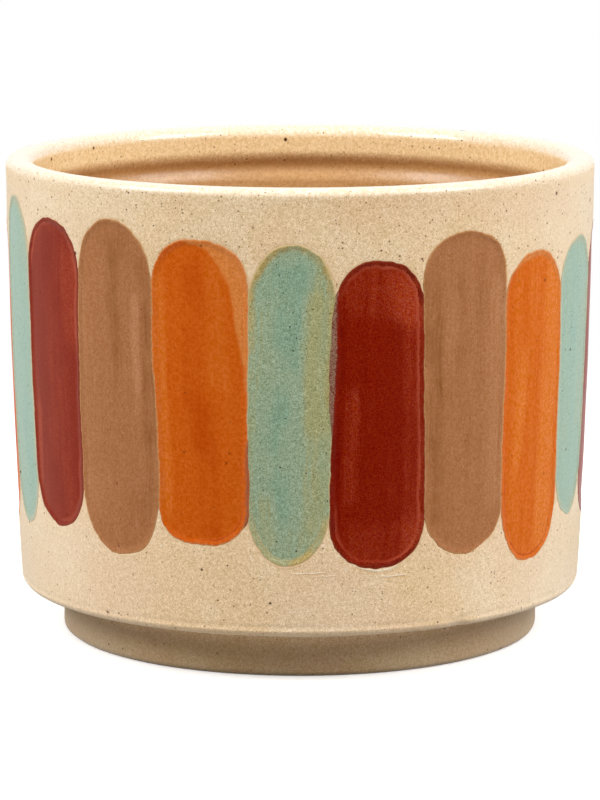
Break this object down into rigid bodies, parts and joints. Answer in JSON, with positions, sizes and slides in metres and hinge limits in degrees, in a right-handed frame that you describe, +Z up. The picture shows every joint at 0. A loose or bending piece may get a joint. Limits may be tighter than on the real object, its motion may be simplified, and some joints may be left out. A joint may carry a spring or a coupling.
{
  "type": "plant pot",
  "caption": "Round glazed stoneware cover pot on a recessed foot ring, with a smooth rolled rim and a row of coloured glaze ovals pressed into its wall.",
  "frame": {"origin": "middle of the foot ring's underside, on the surface that the pot stands on", "axes": "+Z up along the pot's axis; -Y towards the side that the picture shows"},
  "size_m": [0.16, 0.16, 0.13],
  "materials": {
    "clay": "matte speckled sand stoneware",
    "cream_glaze": "gloss clear cream glaze over speckled clay",
    "green_glaze": "satin brushed glaze",
    "red_glaze": "gloss brushed glaze",
    "brown_glaze": "satin brushed glaze",
    "orange_glaze": "gloss brushed glaze"
  },
  "bodies": {
    "root": {"pot_body": "clay", "inner_glaze": "cream_glaze", "oval_green_1": "green_glaze", "oval_green_2": "green_glaze", "oval_green_3": "green_glaze", "oval_green_4": "green_glaze", "oval_green_5": "green_glaze", "oval_red_1": "red_glaze", "oval_red_2": "red_glaze", "oval_red_3": "red_glaze", "oval_red_4": "red_glaze", "oval_red_5": "red_glaze", "oval_brown_1": "brown_glaze", "oval_brown_2": "brown_glaze", "oval_brown_3": "brown_glaze", "oval_brown_4": "brown_glaze", "oval_brown_5": "brown_glaze", "oval_orange_1": "orange_glaze", "oval_orange_2": "orange_glaze", "oval_orange_3": "orange_glaze", "oval_orange_4": "orange_glaze", "oval_orange_5": "orange_glaze"}
  },
  "joints": []
}
